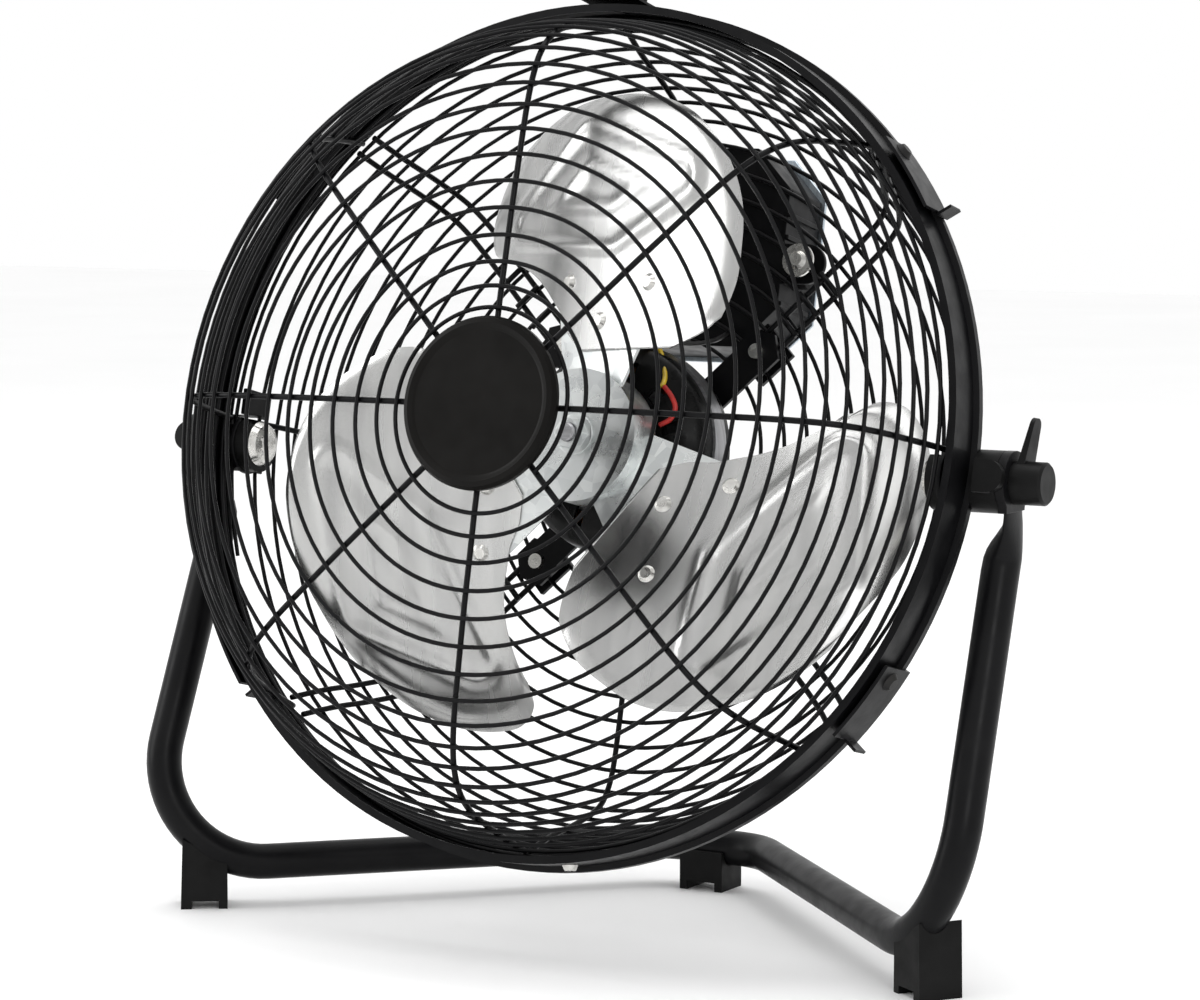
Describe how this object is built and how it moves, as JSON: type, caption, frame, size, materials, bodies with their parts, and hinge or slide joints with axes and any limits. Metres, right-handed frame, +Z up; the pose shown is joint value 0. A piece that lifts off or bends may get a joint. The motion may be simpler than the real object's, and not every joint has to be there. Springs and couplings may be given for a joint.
{
  "type": "floor fan",
  "caption": "Round high-velocity floor fan with black wire guards, bright metal blades, a hub motor and a rear switch box, tilting on a bent tube stand.",
  "frame": {"origin": "On the floor, at the middle of the fan's footprint box.", "axes": "+Z up; the fan blows towards -Y with its head tilted up; X is the tilt axis."},
  "size_m": [0.4243, 0.2512, 0.409],
  "materials": {
    "satin_black": "satin powder coat",
    "blade_metal": "bright rolled sheet",
    "hub_metal": "galvanised sheet",
    "zinc_fastener": "bright zinc plate",
    "black_fastener": "black oxide",
    "knob_plastic": "moulded nylon",
    "badge_plastic": "semi-gloss moulded plastic",
    "box_plastic": "fine moulded texture",
    "cover_label": "printed silver face",
    "foot_rubber": "matt moulded rubber",
    "motor_black": "black enamel",
    "core_steel": "laminated steel",
    "copper_wire": "enamelled copper",
    "bronze_bush": "sintered bronze",
    "switch_plastic": "moulded phenolic"
  },
  "bodies": {
    "stand": {"stand_tube": "satin_black", "foot_right": "foot_rubber", "foot_left": "foot_rubber", "foot_rear": "foot_rubber"},
    "head": {"front_grille": "satin_black", "front_side_wire": "satin_black", "front_spokes": "satin_black", "badge_cap": "badge_plastic", "badge_plate": "satin_black", "badge_screw": "zinc_fastener", "rear_grille": "satin_black", "rear_side_wire": "satin_black", "rear_spokes": "satin_black", "rear_ring": "satin_black", "rim_band": "satin_black", "band_clips": "satin_black", "clip_screws": "black_fastener", "band_buckle": "satin_black", "band_screw": "zinc_fastener", "motor_front_shell": "motor_black", "motor_rear_shell": "motor_black", "stator_core": "core_steel", "stator_windings": "copper_wire", "front_bearing": "bronze_bush", "rear_bearing": "bronze_bush", "motor_bracket": "satin_black", "bracket_clamps": "satin_black", "bracket_bolts": "zinc_fastener", "control_box": "box_plastic", "control_cover": "cover_label", "box_washers": "zinc_fastener", "speed_switch": "switch_plastic", "capacitor": "box_plastic", "cord_gland": "foot_rubber", "pivot_brackets": "satin_black", "pivot_bosses": "knob_plastic", "pivot_bolts": "zinc_fastener", "pivot_nut": "black_fastener"},
    "rotor": {"blade_1": "blade_metal", "blade_2": "blade_metal", "blade_3": "blade_metal", "hub_spider": "hub_metal", "blade_rivets": "zinc_fastener", "hub_nut": "hub_metal", "motor_shaft": "core_steel", "rotor_core": "core_steel"},
    "lock": {"lock_knob": "knob_plastic"},
    "speed_dial": {"speed_knob": "knob_plastic"}
  },
  "joints": [
    {"name": "head_tilt", "type": "hinge", "parent": "stand", "child": "head", "pos_m": [-0.0049, -0.01565, 0.208], "axis": [-1, 0, 0], "range_deg": [-15, 75]},
    {"name": "fan_spin", "type": "hinge", "parent": "head", "child": "rotor", "pos_m": [-0.0049, -0.01335, 0.21773], "axis": [0, 0.9732, -0.23], "continuous": true},
    {"name": "lock_turn", "type": "hinge", "parent": "head", "child": "lock", "pos_m": [0.2051, -0.01565, 0.208], "axis": [1, 0, 0], "range_deg": [-180, 180]},
    {"name": "speed_select", "type": "hinge", "parent": "head", "child": "speed_dial", "pos_m": [-0.0049, 0.11138, 0.28895], "axis": [0, 0.9732, -0.23], "range_deg": [0, 135]}
  ]
}
